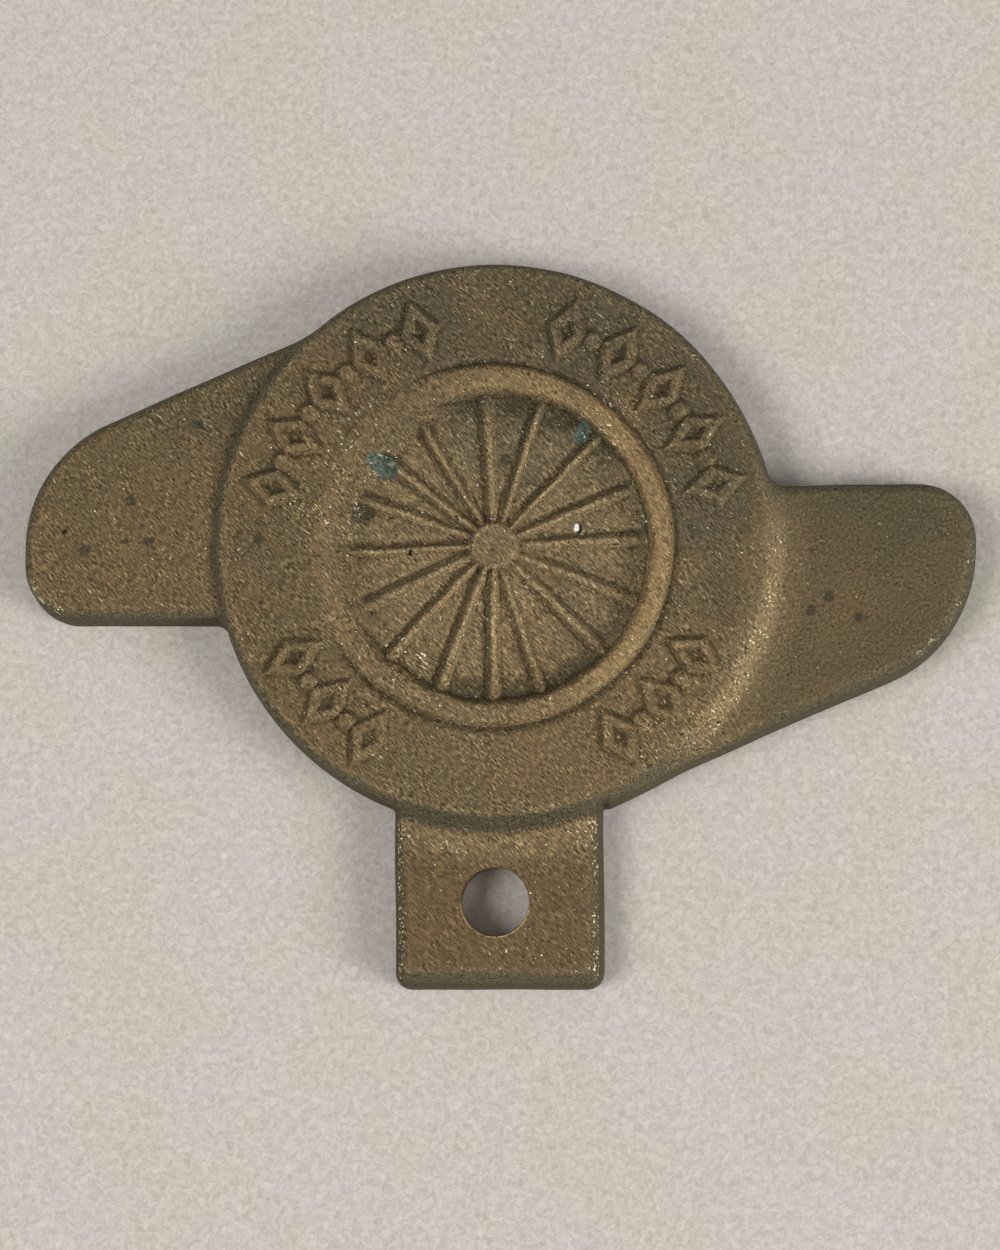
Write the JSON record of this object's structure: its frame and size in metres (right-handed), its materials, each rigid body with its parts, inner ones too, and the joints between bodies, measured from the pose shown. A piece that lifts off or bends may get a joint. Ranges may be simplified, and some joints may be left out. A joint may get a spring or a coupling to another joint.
{
  "type": "car badge",
  "caption": "Cast brass car badge shaped like a two-eared wheel spinner: round body with a raised spoked wheel and ornament border, and a drilled lug below for one bolt.",
  "frame": {"origin": "centre of the round body on its flat back", "axes": "+X to the right and +Y up as the badge is read, +Z out of its front face; the badge lies on its back"},
  "size_m": [0.094, 0.0716, 0.0067],
  "materials": {
    "cast_brass": "matte brown patina on sand-cast brass, brighter where worn"
  },
  "bodies": {
    "root": {"round_body": "cast_brass", "left_ear": "cast_brass", "right_ear": "cast_brass", "mounting_lug": "cast_brass", "wheel_rim": "cast_brass", "wheel_spokes": "cast_brass", "wheel_hub": "cast_brass", "upper_left_border": "cast_brass", "upper_right_border": "cast_brass", "lower_left_border": "cast_brass", "lower_right_border": "cast_brass"}
  },
  "joints": []
}
